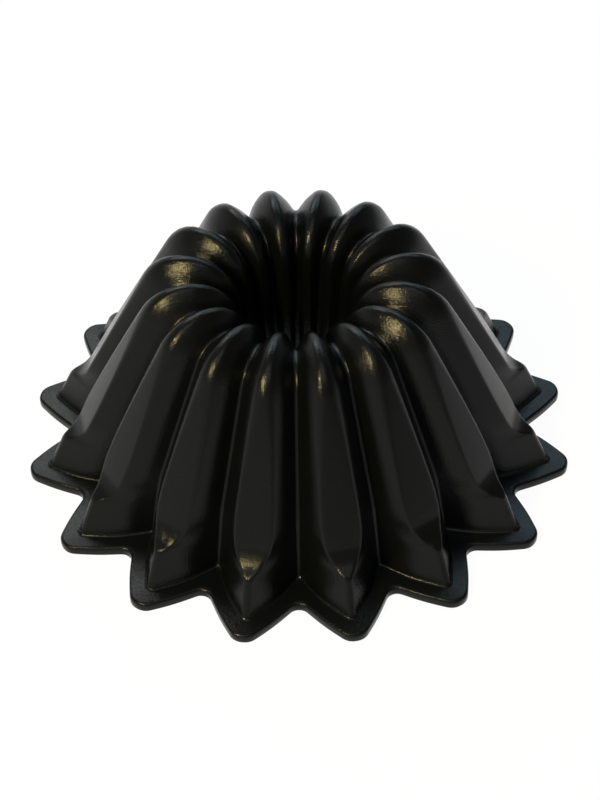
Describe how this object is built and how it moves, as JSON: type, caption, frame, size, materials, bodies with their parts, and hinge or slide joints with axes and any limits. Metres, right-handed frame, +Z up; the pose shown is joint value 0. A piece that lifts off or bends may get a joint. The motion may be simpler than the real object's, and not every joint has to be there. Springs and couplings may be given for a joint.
{
  "type": "fluted tube pan",
  "caption": "Cast ring cake pan with a star-shaped rim flange, straight keeled flutes, a rounded crown and a fluted centre tube, coated satin black, standing on its rim",
  "frame": {"origin": "centre of the rim's flat face, on the axis of the tube, with the pan upside down on its rim", "axes": "+Z runs up the tube's axis to the crown; a valley between two flutes faces +X, -X, +Y and -Y; the picture looks from -Y"},
  "size_m": [0.2552, 0.2552, 0.1046],
  "materials": {
    "cast_aluminium": "as cast, satin",
    "exterior_coat": "satin black sprayed coat with a fine grain",
    "release_coat": "satin black non-stick coat"
  },
  "bodies": {
    "root": {"pan_casting": "cast_aluminium", "exterior_coating": "exterior_coat", "interior_release_coating": "release_coat"}
  },
  "joints": []
}
